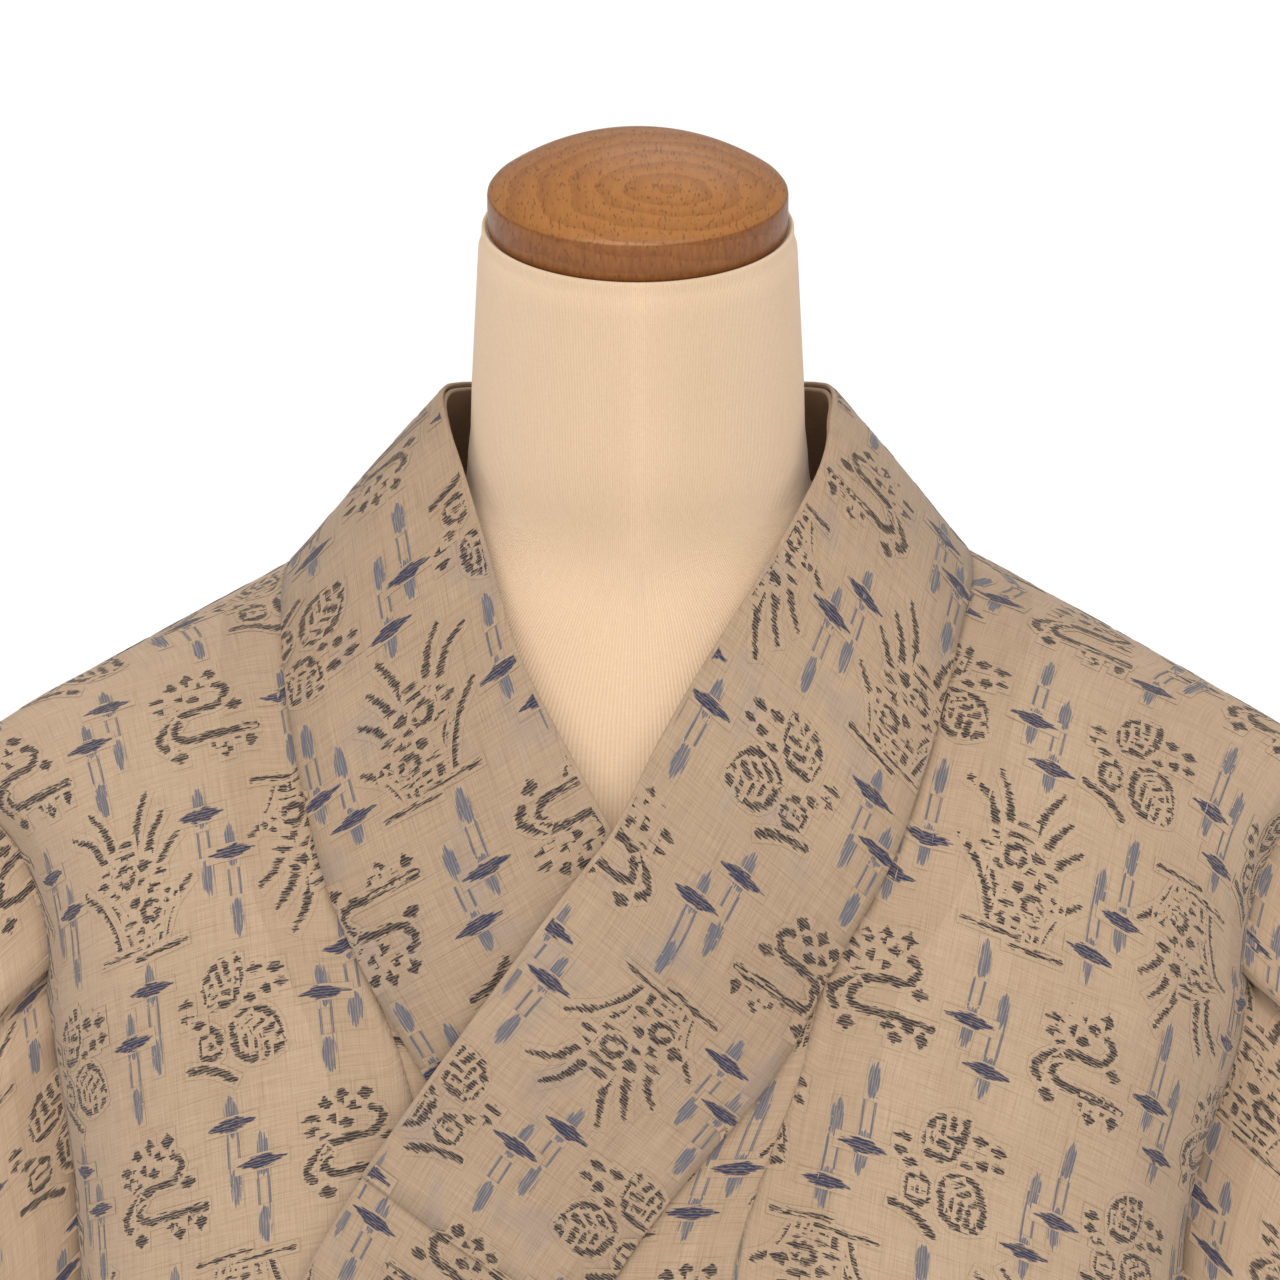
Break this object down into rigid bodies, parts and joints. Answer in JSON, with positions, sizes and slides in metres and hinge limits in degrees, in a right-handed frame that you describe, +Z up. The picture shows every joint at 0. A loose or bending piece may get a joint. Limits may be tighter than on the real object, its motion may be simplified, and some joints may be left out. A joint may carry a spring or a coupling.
{
  "type": "kimono on dress form",
  "caption": "Woman's unlined summer kimono with open hanging sleeves, worn left front over right on a limbless dress form with a turned cap, pole and round base.",
  "frame": {"origin": "on the floor, at the centre of the round base's underside", "axes": "+Z up, the front faces -Y, the wearer's left is +X"},
  "size_m": [0.8891, 0.44, 1.6537],
  "materials": {
    "cloth": "slubby plain-weave ramie, beige, with woven charcoal and indigo ikat figures, matt, slightly sheer",
    "collar_cloth": "the same cloth doubled, so a little darker",
    "form_cover": "fine ribbed peach-beige knit",
    "beech": "satin lacquered beech with curved growth rings",
    "steel": "satin steel tube"
  },
  "bodies": {
    "root": {"body_left": "cloth", "body_right": "cloth", "overlap_left": "cloth", "overlap_right": "cloth", "sleeve_left": "cloth", "sleeve_right": "cloth", "collar": "collar_cloth", "over_collar": "collar_cloth", "form_torso": "form_cover", "form_cap": "beech", "stand_pole": "steel", "stand_base": "beech"}
  },
  "joints": []
}
